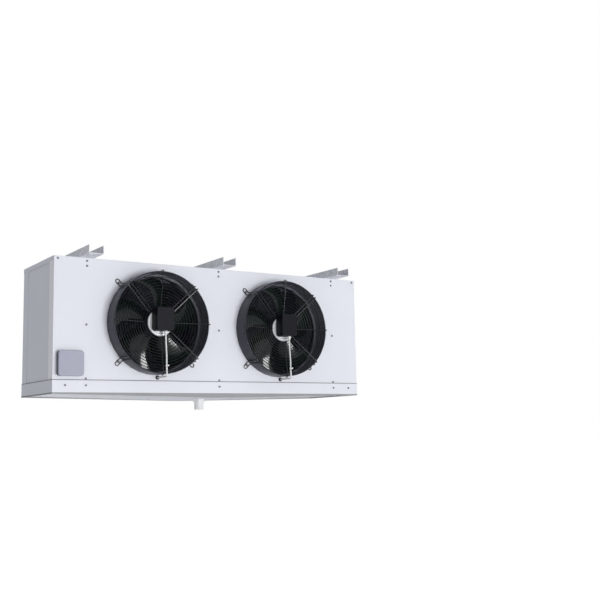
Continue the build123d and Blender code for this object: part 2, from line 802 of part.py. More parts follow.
def junction_box_base():
    """Open base screwed to the front panel."""
    place, outline = junction_outline(-lid_overlap)
    base = extrude(place * outline, box_base_depth)
    hollow = offset(outline, amount=-2 * sheet)
    return base - extrude(place.offset(2 * sheet) * hollow, box_base_depth)


def junction_box_lid():
    """Lid over the base, with a bevelled front edge."""
    place, outline = junction_outline(0)
    lid = extrude(place.offset(box_base_depth) * outline, box_lid_depth)
    return chamfer(lid.faces().sort_by(Axis.Y)[0].edges(), box_lid_depth / 3)


def write(name, shape):
    """Write one node; a list becomes a group of separate solids."""
    if isinstance(shape, list):
        shape = Compound(children=[piece.solid() for piece in shape])
    export_step(shape, os.path.join("parts", name + ".step"))


def main():
    os.makedirs("parts", exist_ok=True)
    write("roof_panel", roof_panel())
    write("front_fan_panel", front_fan_panel())
    write("left_end_cover", end_cover(-1))
    write("right_end_cover", end_cover(1))
    write("rear_top_rail", rear_top_rail())
    write("rear_closed_panel", rear_sheet(opening_right_x, 1))
    write("rear_pipe_panel", rear_pipe_panel())
    write("drain_pan", drain_pan())
    write("drain_spigot", drain_spigot())
    write("drain_nut", drain_nut())
    for name, x in zip(("left", "centre", "right"), channel_xs):
        write(name + "_hanging_channel", hanging_channel(x))
    write("channel_bolts", channel_bolts())
    write("front_panel_screws", front_panel_screws())
    write("rear_panel_screws", rear_panel_screws())
    write("pan_screws", pan_screws())
    write("left_tube_sheet", flanged_sheet(-tube_sheet_x, -1))
    write("right_tube_sheet", flanged_sheet(tube_sheet_x, 1))
    write("centre_support", centre_support())
    write("left_fin_pack", fin_pack(-1))
    write("right_fin_pack", fin_pack(1))
    write("coil_hairpins", coil_hairpins())
    write("return_bends", return_bends())
    write("suction_header", suction_header())
    write("liquid_header", liquid_header())
    write("defrost_heaters", defrost_heaters())
    write("junction_box_base", junction_box_base())
    write("junction_box_lid", junction_box_lid())
    fan_pieces = {
        "fan_ring": fan_ring(),
        "wire_guard": wire_guard(),
        "guard_hoops": guard_hoops(),
        "guard_screws": guard_screws(),
        "motor_stator": motor_stator(),
        "terminal_box": terminal_box(),
        "cable_gland": cable_gland(),
        "motor_cable": motor_cable(),
        "cable_grommet": cable_grommet(),
        "cable_tie": cable_tie(),
        "fan_rotor": fan_rotor(),
    }
    for side, x in (("left", -fan_x), ("right", fan_x)):
        place = fan_plane(x).location
        for name, piece in fan_pieces.items():
            if isinstance(piece, list):
                placed = [place * solid for solid in piece]
            else:
                placed = place * piece
            write(side + "_" + name, placed)


main()
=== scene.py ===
import json
from math import cos, pi, radians, sin

import bpy
import bmesh
from mathutils import Matrix, Vector


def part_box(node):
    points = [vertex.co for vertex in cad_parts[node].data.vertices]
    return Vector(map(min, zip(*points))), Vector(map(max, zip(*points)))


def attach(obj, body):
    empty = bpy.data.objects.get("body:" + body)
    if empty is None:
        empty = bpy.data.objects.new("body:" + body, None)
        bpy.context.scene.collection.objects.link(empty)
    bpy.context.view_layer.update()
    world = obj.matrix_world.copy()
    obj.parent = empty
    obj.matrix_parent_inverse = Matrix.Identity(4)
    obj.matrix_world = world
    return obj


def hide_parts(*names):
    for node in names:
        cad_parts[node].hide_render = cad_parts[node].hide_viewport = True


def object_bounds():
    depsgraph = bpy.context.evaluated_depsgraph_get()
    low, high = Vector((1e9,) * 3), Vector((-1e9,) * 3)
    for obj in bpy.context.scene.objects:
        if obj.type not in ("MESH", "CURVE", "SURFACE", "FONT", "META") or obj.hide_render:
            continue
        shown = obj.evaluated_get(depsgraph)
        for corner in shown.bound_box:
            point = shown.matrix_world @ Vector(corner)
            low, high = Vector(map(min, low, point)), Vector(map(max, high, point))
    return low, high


# Looks of the walk-in unit cooler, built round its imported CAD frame. Everything is in metres,
# with X along the casing, Y from the fan side to the coil side and Z up.

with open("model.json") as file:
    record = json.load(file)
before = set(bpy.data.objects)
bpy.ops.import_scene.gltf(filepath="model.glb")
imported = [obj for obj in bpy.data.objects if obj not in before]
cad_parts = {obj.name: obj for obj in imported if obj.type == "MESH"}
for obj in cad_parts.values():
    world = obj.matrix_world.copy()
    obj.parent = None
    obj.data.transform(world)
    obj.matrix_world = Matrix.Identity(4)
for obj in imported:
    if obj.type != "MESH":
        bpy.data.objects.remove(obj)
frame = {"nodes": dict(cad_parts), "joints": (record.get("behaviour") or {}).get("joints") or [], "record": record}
cad_low, cad_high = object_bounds()
MM = 0.001
MERGE = 1e-5                # CAD vertices closer than this are one


# ------------------------------------------------------------------ camera, light and floor

CAMERA_PLACE = (-2.027, -3.948, -0.733)
CAMERA_TURN = (97.84, 1.117, -33.19)        # degrees
LENS = 57.05
SENSOR = 36.0
VIEW_RANGE = 100.0
WHITE = (1.0, 1.0, 1.0, 1.0)
COOL_WHITE = (0.94, 0.96, 1.0, 1.0)
WORLD_LIGHT = 0.42          # strength of the world on the object
WORLD_MIRROR = 0.65         # strength of the world in reflections
SOFTBOXES = (
    # name, place, watts, width, seen in reflections
    ("key", (0.6, -7.4, -1.5), 350.0, 3.0, True),
    ("rear_key", (0.6, 7.4, -1.2), 330.0, 2.4, False),
)
FLOOR_DROP = 1.7            # floor below the unit, which hangs from a ceiling
FLOOR_HALF = 40.0
FLOOR_COLOR = (0.9, 0.9, 0.9, 1.0)
FLOOR_ROUGHNESS = 0.9


def make_camera():
    data = bpy.data.cameras.new("camera")
    data.lens = LENS
    data.sensor_width = SENSOR
    data.clip_end = VIEW_RANGE
    camera = bpy.data.objects.new("camera", data)
    camera.location = CAMERA_PLACE
    camera.rotation_euler = [radians(angle) for angle in CAMERA_TURN]
    bpy.context.scene.collection.objects.link(camera)
    bpy.context.scene.camera = camera


def make_world():
    """Even soft light, a brighter room in reflections, and white where the camera sees past the unit."""
    world = bpy.data.worlds.new("studio")
    bpy.context.scene.world = world
    world.use_nodes = True
    nodes, links = world.node_tree.nodes, world.node_tree.links
    nodes.clear()
    path = nodes.new("ShaderNodeLightPath")
    backgrounds = []
    for level, color in ((WORLD_LIGHT, COOL_WHITE), (WORLD_MIRROR, COOL_WHITE), (1.0, WHITE)):
        background = nodes.new("ShaderNodeBackground")
        background.inputs["Color"].default_value = color
        background.inputs["Strength"].default_value = level
        backgrounds.append(background)
    seen = nodes.new("ShaderNodeMath")
    seen.operation = "MAXIMUM"
    links.new(path.outputs["Is Camera Ray"], seen.inputs[0])
    links.new(path.outputs["Is Transmission Ray"], seen.inputs[1])
    shown, mirrored, backdrop = backgrounds
    for choice, background in ((path.outputs["Is Glossy Ray"], mirrored), (seen.outputs["Value"], backdrop)):
        mix = nodes.new("ShaderNodeMixShader")
        links.new(choice, mix.inputs["Fac"])
        links.new(shown.outputs[0], mix.inputs[1])
        links.new(background.outputs["Background"], mix.inputs[2])
        shown = mix
    output = nodes.new("ShaderNodeOutputWorld")
    links.new(shown.outputs[0], output.inputs["Surface"])


def make_softbox(name, place, power, width, glossy):
    """Square light that faces the middle of the unit."""
    data = bpy.data.lights.new(name, "AREA")
    data.energy = power
    data.size = width
    softbox = bpy.data.objects.new(name, data)
    softbox.location = place
    aim = Vector(place) - (cad_low + cad_high) / 2
    softbox.rotation_euler = aim.to_track_quat("Z", "Y").to_euler()
    softbox.visible_glossy = glossy
    bpy.context.scene.collection.objects.link(softbox)


def make_floor():
    """Floor that takes the shadow and looks white to the camera."""
    mesh = bpy.data.meshes.new("floor")
    z, half = cad_low.z - FLOOR_DROP, FLOOR_HALF
    corners = [(-half, -half, z), (half, -half, z), (half, half, z), (-half, half, z)]
    mesh.from_pydata(corners, [], [(0, 1, 2, 3)])
    floor = bpy.data.objects.new("floor", mesh)
    bpy.context.scene.collection.objects.link(floor)
    mat = bpy.data.materials.new("floor")
    mat.use_nodes = True
    nodes, links = mat.node_tree.nodes, mat.node_tree.links
    shader = nodes["Principled BSDF"]
    shader.inputs["Base Color"].default_value = FLOOR_COLOR
    shader.inputs["Roughness"].default_value = FLOOR_ROUGHNESS
    glow = nodes.new("ShaderNodeEmission")
    path = nodes.new("ShaderNodeLightPath")
    links.new(path.outputs["Is Camera Ray"], glow.inputs["Strength"])
    add = nodes.new("ShaderNodeAddShader")
    links.new(shader.outputs[0], add.inputs[0])
    links.new(glow.outputs[0], add.inputs[1])
    links.new(add.outputs[0], nodes["Material Output"].inputs["Surface"])
    mesh.materials.append(mat)


# ------------------------------------------------------------------ materials

BROAD, FINE = 20, 6         # one noise is this much coarser than the grain, the other this much finer
GLOSS_SPREAD = 0.15         # share of the roughness
RELIEF = 0.2 * MM
SPANGLE_SCALE = 90
SPANGLE_DARK = (0.56, 0.57, 0.6, 1)
SPANGLE_LIGHT = (0.8, 0.81, 0.84, 1)


def finish_material(name, color, roughness, metallic=0.0, vary=0.06, grain=120.0, bump=0.1,
                    coat=0.0, specular=0.5):
    """Surface whose colour, gloss and height vary a little with noise at two scales."""
    mat = bpy.data.materials.new(name)
    mat.use_nodes = True
    nodes, links = mat.node_tree.nodes, mat.node_tree.links
    shader = nodes["Principled BSDF"]
    shader.inputs["Metallic"].default_value = metallic
    shader.inputs["Coat Weight"].default_value = coat
    shader.inputs["Specular IOR Level"].default_value = specular
    place = nodes.new("ShaderNodeTexCoord")
    noises = []
    for scale, detail in ((grain / BROAD, 5), (grain * FINE, 3)):
        noise = nodes.new("ShaderNodeTexNoise")
        noise.inputs["Scale"].default_value = scale
        noise.inputs["Detail"].default_value = detail
        links.new(place.outputs["Object"], noise.inputs["Vector"])
        noises.append(noise)
    broad, fine = noises
    ramp = nodes.new("ShaderNodeValToRGB")
    dark, light = ramp.color_ramp.elements
    dark.position, light.position = 0.3, 0.7
    dark.color = [channel * (1 - vary) for channel in color] + [1]
    light.color = [min(channel * (1 + vary), 1) for channel in color] + [1]
    links.new(broad.outputs["Fac"], ramp.inputs["Fac"])
    links.new(ramp.outputs["Color"], shader.inputs["Base Color"])
    gloss = nodes.new("ShaderNodeMapRange")
    gloss.inputs["To Min"].default_value = roughness * (1 - GLOSS_SPREAD)
    gloss.inputs["To Max"].default_value = min(roughness * (1 + GLOSS_SPREAD), 1)
    links.new(fine.outputs["Fac"], gloss.inputs["Value"])
    links.new(gloss.outputs["Result"], shader.inputs["Roughness"])
    height = nodes.new("ShaderNodeBump")
    height.inputs["Strength"].default_value = bump
    height.inputs["Distance"].default_value = RELIEF
    links.new(fine.outputs["Fac"], height.inputs["Height"])
    links.new(height.outputs["Normal"], shader.inputs["Normal"])
    return mat


def add_zinc_spangle(mat):
    """Colour a material in flat crystals of slightly different grey."""
    nodes, links = mat.node_tree.nodes, mat.node_tree.links
    place = nodes.new("ShaderNodeTexCoord")
    crystals = nodes.new("ShaderNodeTexVoronoi")
    crystals.inputs["Scale"].default_value = SPANGLE_SCALE
    links.new(place.outputs["Object"], crystals.inputs["Vector"])
    ramp = nodes.new("ShaderNodeValToRGB")
    ramp.color_ramp.elements[0].color = SPANGLE_DARK
    ramp.color_ramp.elements[1].color = SPANGLE_LIGHT
    links.new(crystals.outputs["Color"], ramp.inputs["Fac"])
    links.new(ramp.outputs["Color"], nodes["Principled BSDF"].inputs["Base Color"])


# name: colour, roughness and the settings that differ from finish_material's own
FINISHES = {
    "casing_paint": ((0.8, 0.815, 0.87), 0.45, {"vary": 0.012, "bump": 0.12, "specular": 0.3}),
    # painted highlight: whiter than the casing paint, for the light that the front folds' bends catch
    "fold_painted_highlight": ((0.96, 0.965, 0.99), 0.4, {"vary": 0.012, "bump": 0.12}),
    "galvanised": ((0.62, 0.63, 0.66), 0.42, {"metallic": 0.35, "vary": 0.1, "grain": 60}),
    "zinc_fastener": ((0.2, 0.205, 0.22), 0.5, {"metallic": 0.6}),
    "white_plastic": ((0.82, 0.82, 0.82), 0.42, {"vary": 0.02}),
    "white_cable": ((0.74, 0.75, 0.74), 0.45, {"vary": 0.03}),
    "box_plastic": ((0.38, 0.385, 0.48), 0.5, {"vary": 0.03, "bump": 0.25}),
    "black_plastic": ((0.006, 0.006, 0.01), 0.42, {"bump": 0.3, "specular": 0.16}),
    "black_ring": ((0.024, 0.027, 0.04), 0.3, {"bump": 0.06, "specular": 0.3}),
    # painted sheen: lighter grey inside the ring that stands in for light on its inner wall and step
    "ring_inside_painted_sheen": ((0.13, 0.132, 0.165), 0.3, {"bump": 0.06}),
    "black_wire": ((0.007, 0.007, 0.009), 0.35, {"vary": 0.1, "specular": 0.25}),
    "rib_wire": ((0.008, 0.008, 0.011), 0.26, {"vary": 0.1, "coat": 0.2}),
    "black_blade": ((0.005, 0.012, 0.009), 0.16, {"vary": 0.2, "coat": 0.4, "bump": 0.05}),
    "motor_aluminium": ((0.8, 0.81, 0.83), 0.4, {"metallic": 0.5}),
    # aluminium fin grey, darkened as painted shade for the depth between the fins
    "coil_fin": ((0.38, 0.4, 0.48), 0.5, {"metallic": 0.35, "vary": 0.12}),
    "fin_collar": ((0.36, 0.37, 0.43), 0.45, {"metallic": 0.3, "vary": 0.1}),
    # dark grey: the junction box's real gasket, and painted shadow in the pan joint and behind the front folds
    "seal_and_painted_shadow": ((0.2, 0.2, 0.21), 0.6, {"vary": 0.05}),
    "copper": ((0.42, 0.25, 0.17), 0.4, {"metallic": 0.9, "vary": 0.18, "grain": 80}),
    "support_strip": ((0.33, 0.34, 0.38), 0.5, {"metallic": 0.3}),
    # painted shade: much darker than the lid, for the shade on the box's sides
    "box_base": ((0.1, 0.1, 0.125), 0.5, {"vary": 0.03, "bump": 0.25}),
    # painted shade: mid grey for the shaded underside of the pan
    "pan_underside_painted_shade": ((0.34, 0.34, 0.35), 0.7, {"vary": 0.05, "bump": 0.4}),
    "heater_steel": ((0.3, 0.3, 0.31), 0.4, {"metallic": 0.8, "vary": 0.1}),
}
MATERIALS = {name: finish_material(name, color, roughness, **settings)
             for name, (color, roughness, settings) in FINISHES.items()}
add_zinc_spangle(MATERIALS["galvanised"])


# ------------------------------------------------------------------ mesh building

BEVEL_ANGLE = 30            # degrees, edges sharper than this are rounded


class Builder:
    """Collects the vertices and faces of one piece."""

    def __init__(self):
        self.verts = []
        self.faces = []

    def grid(self, rows, wrap_rows=False, wrap_columns=False):
        """Quads between rows of points, which all have the same count."""
        start, width = len(self.verts), len(rows[0])
        for row in rows:
            self.verts.extend(Vector(point) for point in row)
        for i in range(len(rows) if wrap_rows else len(rows) - 1):
            for j in range(width if wrap_columns else width - 1):
                a, b = i, (i + 1) % len(rows)
                c, d = j, (j + 1) % width
                self.faces.append([start + a * width + c, start + b * width + c,
                                   start + b * width + d, start + a * width + d])

    def cap(self, points):
        """One flat face."""
        points = list(points)
        start = len(self.verts)
        self.verts.extend(Vector(point) for point in points)
        self.faces.append(list(range(start, start + len(points))))

    def box(self, low, high):
        """Block between two opposite corners."""
        xs, ys, zs = zip(low, high)
        bottom = [(xs[0], ys[0]), (xs[1], ys[0]), (xs[1], ys[1]), (xs[0], ys[1])]
        start = len(self.verts)
        self.verts.extend(Vector((x, y, z)) for z in zs for x, y in bottom)
        sides = [(0, 3, 2, 1), (4, 5, 6, 7), (0, 1, 5, 4), (1, 2, 6, 5), (2, 3, 7, 6), (3, 0, 4, 7)]
        self.faces.extend([start + corner for corner in side] for side in sides)

    def prism(self, outline, bottom, top):
        """Upright prism between two heights over an outline of (x, y) points."""
        low = [(x, y, bottom) for x, y in outline]
        high = [(x, y, top) for x, y in outline]
        self.grid([low, high], wrap_columns=True)
        self.cap(reversed(low))
        self.cap(high)

    def turned(self, profile, steps=96, closed=False):
        """Turn (radius, height) points about Z; closed joins the profile's last point to its first."""
        rows = [[(r * x, r * y, z) for r, z in profile] for x, y in circle(1, steps)]
        self.grid(rows, wrap_rows=True, wrap_columns=closed)

    def tube(self, points, radius, sides=10, closed=False):
        """Round tube along points, with a frame that is carried along without twist."""
        points = [Vector(point) for point in points]
        count = len(points)
        tangents = []
        for i in range(count):
            before = points[(i - 1) % count] if closed or i else points[i]
            after = points[(i + 1) % count] if closed or i < count - 1 else points[i]
            tangents.append((after - before).normalized())
        normal = tangents[0].orthogonal().normalized()
        rows = []
        for point, tangent in zip(points, tangents):
            normal = (normal - tangent * normal.dot(tangent)).normalized()
            across = tangent.cross(normal)
            rows.append([point + (normal * x + across * y) * radius for x, y in circle(1, sides)])
        self.grid(rows, wrap_rows=closed, wrap_columns=True)
        if not closed:
            self.cap(reversed(rows[0]))
            self.cap(rows[-1])

    def add(self, other, matrix):
        """Copy of another builder's shape, moved by the matrix."""
        start = len(self.verts)
        self.verts.extend(matrix @ vert for vert in other.verts)
        self.faces.extend([start + corner for corner in face] for face in other.faces)

    def piece(self, name, slot, body="casing", matrix=None, smooth=40.0, replaces=(), material=None):
        """Make the object, riding on its body, with edges sharper than the smooth angle kept crisp."""
        mesh = bpy.data.meshes.new(name)
        mesh.from_pydata([tuple(vert) for vert in self.verts], [], self.faces)
        work = bmesh.new()
        work.from_mesh(mesh)
        bmesh.ops.remove_doubles(work, verts=work.verts, dist=1e-6)
        bmesh.ops.recalc_face_normals(work, faces=work.faces)
        work.to_mesh(mesh)
        work.free()
        if matrix is not None:
            mesh.transform(matrix)
        mesh.materials.append(MATERIALS[material or slot])
        mesh.polygons.foreach_set("use_smooth", [True] * len(mesh.polygons))
        mesh.set_sharp_from_angle(angle=radians(smooth))
        piece = bpy.data.objects.new(name, mesh)
        bpy.context.scene.collection.objects.link(piece)
        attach(piece, body)
        if replaces:
            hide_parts(*replaces)
        return piece


def circle(radius, count):
    """Evenly spaced (x, y) points round a circle."""
    angles = [2 * pi * k / count for k in range(count)]
    return [(radius * cos(angle), radius * sin(angle)) for angle in angles]


def in_mm(profile):
    """Points given in millimetres, in metres."""
    return [(across * MM, along * MM) for across, along in profile]


def bevel(piece, width, segments=3):
    """Round the piece's edges."""
    modifier = piece.modifiers.new("rounding", "BEVEL")
    modifier.width = width
    modifier.segments = segments
    modifier.limit_method = "ANGLE"
    modifier.angle_limit = radians(BEVEL_ANGLE)
    modifier.harden_normals = True


def rounded(points, radius, steps=5):
    """Bent line with each corner replaced by a small curve."""
    points = [Vector(point) for point in points]
    line = [points[0]]
    for before, corner, after in zip(points, points[1:], points[2:]):
        back, ahead = before - corner, after - corner
        reach = min(radius, back.length / 2, ahead.length / 2)
        start = corner + back.normalized() * reach
        end = corner + ahead.normalized() * reach
        for k in range(steps + 1):
            t = k / steps
            line.append(start * (1 - t) ** 2 + corner * 2 * t * (1 - t) + end * t * t)
    line.append(points[-1])
    return line


def rounded_rectangle(width, height, radius, middle, steps=8):
    """Outline of (x, y) points with round corners."""
    outline = []
    for quarter, (right, up) in enumerate(((1, 1), (-1, 1), (-1, -1), (1, -1))):
        x = middle[0] + right * (width / 2 - radius)
        y = middle[1] + up * (height / 2 - radius)
        for k in range(steps + 1):
            angle = pi / 2 * (quarter + k / steps)
            outline.append((x + radius * cos(angle), y + radius * sin(angle)))
    return outline


def islands(node):
    """Lowest and highest corner of each separate solid of a CAD node."""
    work = bmesh.new()
    work.from_mesh(frame["nodes"][node].data)
    bmesh.ops.remove_doubles(work, verts=work.verts, dist=MERGE)
    seen, boxes = set(), []
    for vert in work.verts:
        if vert in seen:
            continue
        stack, found = [vert], []
        seen.add(vert)
        while stack:
            here = stack.pop()
            found.append(here.co.copy())
            for edge in here.link_edges:
                other = edge.other_vert(here)
                if other not in seen:
                    seen.add(other)
                    stack.append(other)
        low = Vector([min(point[axis] for point in found) for axis in range(3)])
        high = Vector([max(point[axis] for point in found) for axis in range(3)])
        boxes.append((low, high))
    work.free()
    return boxes


# ------------------------------------------------------------------ places from the frame

PANEL_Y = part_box("front_fan_panel")[0].y
FANS = {joint["child"].split("_")[0]: Vector(joint["pos_m"]) for joint in frame["joints"]}    # by side
RING_LOW, RING_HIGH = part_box("left_fan_ring")
FLANGE_R = (RING_HIGH.x - RING_LOW.x) / 2
RING_LENGTH = PANEL_Y - RING_LOW.y
GUARD_FRONT = PANEL_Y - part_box("left_wire_guard")[0].y
STATOR_R = (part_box("left_motor_stator")[1].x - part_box("left_motor_stator")[0].x) / 2
OUTWARD = Matrix(((1, 0, 0), (0, 0, -1), (0, 1, 0))).to_4x4()       # x right, y up, z out of the front


def fan_matrix(side):
    """Local frame at a fan's axis on the panel: x right, y up, z out of the front."""
    return Matrix.Translation(FANS[side]) @ OUTWARD


# ------------------------------------------------------------------ CAD nodes that stay

OWN_FINISH = {"centre_support": "support_strip"}        # instead of the record slot's material
FOLDED_SHEETS = ("roof_panel", "front_fan_panel", "rear_top_rail", "rear_closed_panel", "rear_pipe_panel",
                 "drain_pan", "left_hanging_channel", "centre_hanging_channel", "right_hanging_channel")
SHEET_EDGE = 0.6 * MM


def dress_cad_nodes():
    """Weld each CAD node and give it its record slot's material; round the edges of folded sheet."""
    slots = {row["node"]: row["material_slot"] for row in frame["record"]["subparts"]}
    for name, node in frame["nodes"].items():
        node.data.materials.clear()
        node.data.materials.append(MATERIALS[OWN_FINISH.get(name, slots[name])])
        weld = node.modifiers.new("weld", "WELD")
        weld.merge_threshold = MERGE
        node.data.polygons.foreach_set("use_smooth", [False] * len(node.data.polygons))
    for name in FOLDED_SHEETS:
        bevel(frame["nodes"][name], SHEET_EDGE, 2)


# ------------------------------------------------------------------ fans

# Ring. Heights count from the front of the fan panel, and are negative behind it.
RING_R = 0.220
THROAT_R = 0.205
RING_WALL = 2 * MM
RING_STEPS = 144
BEAD_R = 2.6 * MM           # rolled rim
BEAD_START, BEAD_TURN = 0.2, 1.4            # in half turns: before the outermost point, and in all
BEAD_STEPS = 12
FLANGE_BACK = -3.5 * MM
MOUTH_BACK = -14 * MM       # the bell mouth starts here
MOUTH_FLARE = 18 * MM
MOUTH_STRETCH = 1.8         # the bell mouth's depth over its flare
MOUTH_STEPS = 8
STEP_R = THROAT_R + 2 * MM  # the ring's step at the panel
# thickness of the lighter skin inside the ring, which is painted sheen
SHEEN_SKIN = 0.4 * MM

# Wire guard
WIRE = 1.5 * MM             # radius of the hoops' wire
RIB = 2.1 * MM              # radius of the ribs' wire
WIRE_SIDES = 8
HOOPS = 13
HOOP_STEPS = 72
HOOP_CLEAR = 2.2 * MM       # inner hoop to the motor flange
HOOP_OVERLAP = 2 * MM       # outer hoop past the throat
GUARD_CENTRE = 50 * MM      # height of the guard at the motor
RIB_SPREAD = 8 * MM         # each wire of a double rib to the rib's middle
RIB_BEND = 5 * MM
RIB_OFF_RING = 4.5 * MM
RIB_ON_RIM = 0.3 * MM       # gap between the ribs and the ring's rim
HOOK_DROP = 18 * MM         # the single ribs end this far behind the rim
EAR_MIDDLE = 0.248
EAR_STEPS = 10

# Rotor
BLADES = 5
BLADE_ROOT = 58 * MM
TIP_CLEAR = 4.2 * MM
BLADE_HALF_THICK = 1.5 * MM
BLADE_THINNING = 0.8        # share of the thickness that goes towards the edges
BLADE_CHORDS = (88, 150)    # mm at root and tip
BLADE_PITCHES = (42, 20)    # degrees at root and tip
BLADE_SWEEP = 26            # degrees
BLADE_BOW = 0.09            # of the chord
BLADE_BACK = -12 * MM
CAN_R = 60 * MM
CAN_HALF = 40 * MM
CAN_EDGE = 6 * MM
CAN_BORE = 8.05 * MM
CAN_ROUND_STEPS = 6
BORE_BACK = -27 * MM
COOLING_FINS = 24

# Motor, terminal box and cable
SHAFT_R = 8 * MM
SHAFT_BACK = -25 * MM
FLANGE_LOW = 44 * MM
TERMINAL_LOW, TERMINAL_HIGH = -38 * MM, 61 * MM
TERMINAL_WIDTH = 80 * MM
TERMINAL_CORNER = 10 * MM
TERMINAL_BACK = 52 * MM
TERMINAL_SEAM = 92 * MM
SEAM_GAP = 0.6 * MM
TERMINAL_FRONT = 107.5 * MM
SCREW_IN = 9 * MM           # the lid's screws to its outer edges
CABLE_X = 10 * MM
CABLE_R = 3.5 * MM
GLAND_HEIGHT = 84 * MM
CABLE_OUTSIDE = -231 * MM
CABLE_FRONT = 94 * MM
TIE_Y, TIE_HEIGHT = -185 * MM, 92 * MM


def ring_shell(side):
    """Rolled ring with a beaded front rim, a step at the panel and a bell mouth behind."""
    profile = [(RING_R, FLANGE_BACK + RING_WALL), (RING_R, RING_LENGTH - 6 * MM)]
    for k in range(BEAD_STEPS + 1):
        angle = pi * (k / BEAD_STEPS) * BEAD_TURN - BEAD_START * pi
        profile.append((RING_R - BEAD_R + BEAD_R * cos(angle), RING_LENGTH - BEAD_R + BEAD_R * sin(angle)))
    profile += [(RING_R - RING_WALL, RING_LENGTH - 7 * MM), (RING_R - RING_WALL, 1 * MM)]
    profile += [(STEP_R, 0), (THROAT_R, -2 * MM), (THROAT_R, MOUTH_BACK)]
    depth = MOUTH_STRETCH * MOUTH_FLARE
    for k in range(1, MOUTH_STEPS + 1):
        angle = pi / 2 * k / MOUTH_STEPS
        profile.append((THROAT_R + MOUTH_FLARE * (1 - cos(angle)), MOUTH_BACK - depth * sin(angle)))
    outside = THROAT_R + RING_WALL + 1 * MM
    profile += [(THROAT_R + MOUTH_FLARE + RING_WALL, MOUTH_BACK - depth), (outside, MOUTH_BACK - 2 * MM)]
    profile += [(outside, FLANGE_BACK), (FLANGE_R, FLANGE_BACK), (FLANGE_R, FLANGE_BACK + RING_WALL)]
    build = Builder()
    build.turned(profile, RING_STEPS, closed=True)
    build.piece(side + "_ring_shell", "black_ring", matrix=fan_matrix(side), smooth=35,
                replaces=[side + "_fan_ring"])


def ring_painted_sheen(side):
    """Thin lighter skin on the ring's inner wall and step: painted sheen on the wall and a painted highlight along
    the step.
    """
    radius, top = RING_R - RING_WALL - 0.05 * MM, RING_LENGTH - 8 * MM
    profile = [(radius, 1.2 * MM), (radius, top), (radius - SHEEN_SKIN, top), (radius - SHEEN_SKIN, 1.6 * MM),
               (STEP_R, 0.25 * MM + SHEEN_SKIN), (STEP_R, 0.25 * MM)]
    build = Builder()
    build.turned(profile, RING_STEPS, closed=True)
    build.piece(side + "_ring_painted_sheen", "black_ring", matrix=fan_matrix(side), smooth=35,
                material="ring_inside_painted_sheen")


def guard_height(radius):
    """Height of the guard's hoops above the panel: dished from the rim to the motor."""
    rim = GUARD_FRONT - 3 * WIRE
    share = min(max((radius - STATOR_R) / (RING_R - STATOR_R), 0), 1)
    return GUARD_CENTRE + (rim - GUARD_CENTRE) * share


def guard_hoops(side):
    """Hoops of round wire from the motor to the throat."""
    inner, outer = STATOR_R + HOOP_CLEAR, THROAT_R + HOOP_OVERLAP
    build = Builder()
    for index in range(HOOPS):
        radius = inner + (outer - inner) * index / (HOOPS - 1)
        height = guard_height(radius)
        build.tube([(x, y, height) for x, y in circle(radius, HOOP_STEPS)], WIRE, WIRE_SIDES, closed=True)
    build.piece(side + "_guard_hoop_wires", "black_wire", matrix=fan_matrix(side),
                replaces=[side + "_guard_hoops"])


def guard_ribs(side):
    """Four double ribs that end in screw ears, and four single ribs hooked over the rim."""
    inner, outside = STATOR_R + HOOP_CLEAR, RING_R + RIB_OFF_RING
    rim = RING_LENGTH + RIB_ON_RIM + RIB
    single = [(inner - 1 * MM, guard_height(inner) + WIRE + RIB), (RING_R - 6 * MM, rim), (outside, rim)]
    double = single + [(outside, RIB), (EAR_MIDDLE, RIB)]
    hook = single + [(outside, rim - HOOK_DROP)]
    build = Builder()
    for quarter in range(4):
        turn = Matrix.Rotation(radians(45 + 90 * quarter), 4, "Z")
        out = rounded([(r, RIB_SPREAD, z) for r, z in double], RIB_BEND)
        back = [Vector((point.x, -point.y, point.z)) for point in reversed(out)]
        ear = [Vector((EAR_MIDDLE + RIB_SPREAD * cos(angle), RIB_SPREAD * sin(angle), RIB))
               for angle in (pi / 2 - pi * k / EAR_STEPS for k in range(1, EAR_STEPS))]
        build.tube([turn @ point for point in out + ear + back], RIB, WIRE_SIDES)
    for quarter in range(4):
        turn = Matrix.Rotation(radians(90 * quarter), 4, "Z")
        line = rounded([(r, 0, z) for r, z in hook], RIB_BEND)
        build.tube([turn @ point for point in line], RIB, WIRE_SIDES)
    build.piece(side + "_guard_rib_wires", "black_wire", matrix=fan_matrix(side),
                material="rib_wire", replaces=[side + "_wire_guard"])


def blend(ends, share):
    """Value between two ends."""
    return ends[0] + (ends[1] - ends[0]) * share


def blade_grid(face, spans=16, chords=12):
    """Rows of points over the front (1) or the rear (-1) face of a sickle blade."""
    tip = THROAT_R - TIP_CLEAR
    rows = []
    for i in range(spans + 1):
        share = i / spans
        radius = blend((BLADE_ROOT, tip), share)
        chord = blend(BLADE_CHORDS, share) * MM
        pitch = radians(blend(BLADE_PITCHES, share))
        sweep = radians(BLADE_SWEEP) * share * share
        row = []
        for j in range(chords + 1):
            station = j / chords - 0.5
            across = chord * station
            bow = BLADE_BOW * chord * (1 - 4 * station * station)
            thick = BLADE_HALF_THICK * (1 - (2 * station) ** 6 * BLADE_THINNING) * face
            along = across * cos(pitch) - (bow + thick) * sin(pitch)
            height = across * sin(pitch) + (bow + thick) * cos(pitch) + BLADE_BACK
            angle = sweep + along / radius
            row.append((radius * cos(angle), radius * sin(angle), height))
        rows.append(row)
    return rows


def blades(side):
    """Sickle blades, each closed round its edges."""
    build = Builder()
    for index in range(BLADES):
        turn = Matrix.Rotation(2 * pi * index / BLADES, 4, "Z")
        front = [[turn @ Vector(point) for point in row] for row in blade_grid(1)]
        rear = [[turn @ Vector(point) for point in row] for row in blade_grid(-1)]
        build.grid(front)
        build.grid([list(reversed(row)) for row in rear])
        build.grid([front[-1], rear[-1]])
        build.grid([front[0], rear[0]])
        for edge in (0, -1):
            build.grid([[row[edge] for row in front], [row[edge] for row in rear]])
    build.piece(side + "_sickle_blades", "black_blade", side + "_rotor", fan_matrix(side), 50)


